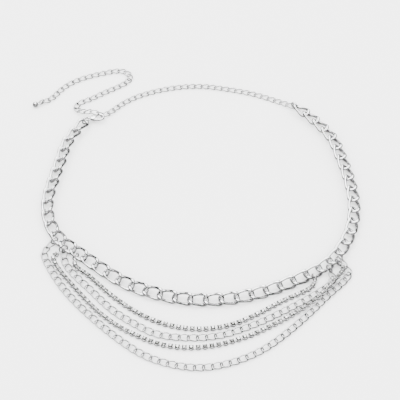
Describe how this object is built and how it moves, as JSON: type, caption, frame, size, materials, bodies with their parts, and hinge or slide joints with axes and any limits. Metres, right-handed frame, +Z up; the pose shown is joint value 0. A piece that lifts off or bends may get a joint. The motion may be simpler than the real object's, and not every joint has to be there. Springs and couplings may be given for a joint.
{
  "type": "waist chain",
  "caption": "Curb-link waist chain with a lobster clasp and extender at the back and swagged rhinestone and fine chain strands across the front.",
  "frame": {"origin": "middle of the waist opening, on the surface that the chain lies on", "axes": "+Z up from that surface, -Y towards the front with the swagged strands, +X towards the right of the picture"},
  "size_m": [0.2296, 0.2726, 0.0065],
  "materials": {
    "chain_silver": "polished silver-tone plating",
    "fine_chain_silver": "polished silver-tone plating",
    "silver_metal": "polished silver-tone plating",
    "rhinestone": "clear cut crystal in silver-tone cups"
  },
  "bodies": {
    "chain": {"main_chain": "chain_silver", "end_ring": "silver_metal", "back_chain": "fine_chain_silver", "extender_chain": "fine_chain_silver", "drop_ring": "silver_metal", "bead_drop": "silver_metal", "clasp_ring": "silver_metal", "clasp_body": "silver_metal", "left_ring_1": "silver_metal", "left_ring_2": "silver_metal", "left_ring_3": "silver_metal", "left_ring_4": "silver_metal", "right_ring_1": "silver_metal", "right_ring_2": "silver_metal", "right_ring_3": "silver_metal", "right_ring_4": "silver_metal", "rhinestone_strand_upper": "rhinestone", "fine_strand_upper": "fine_chain_silver", "rhinestone_strand_lower": "rhinestone", "fine_strand_lower": "fine_chain_silver"},
    "lever": {"clasp_lever": "silver_metal"}
  },
  "joints": [
    {"name": "clasp_lever_hinge", "type": "hinge", "parent": "chain", "child": "lever", "pos_m": [-0.07588, 0.07679, 0.0031], "axis": [0, 0, 1], "range_deg": [-24, 0], "stiffness_Nm_per_rad": 0.0001}
  ]
}
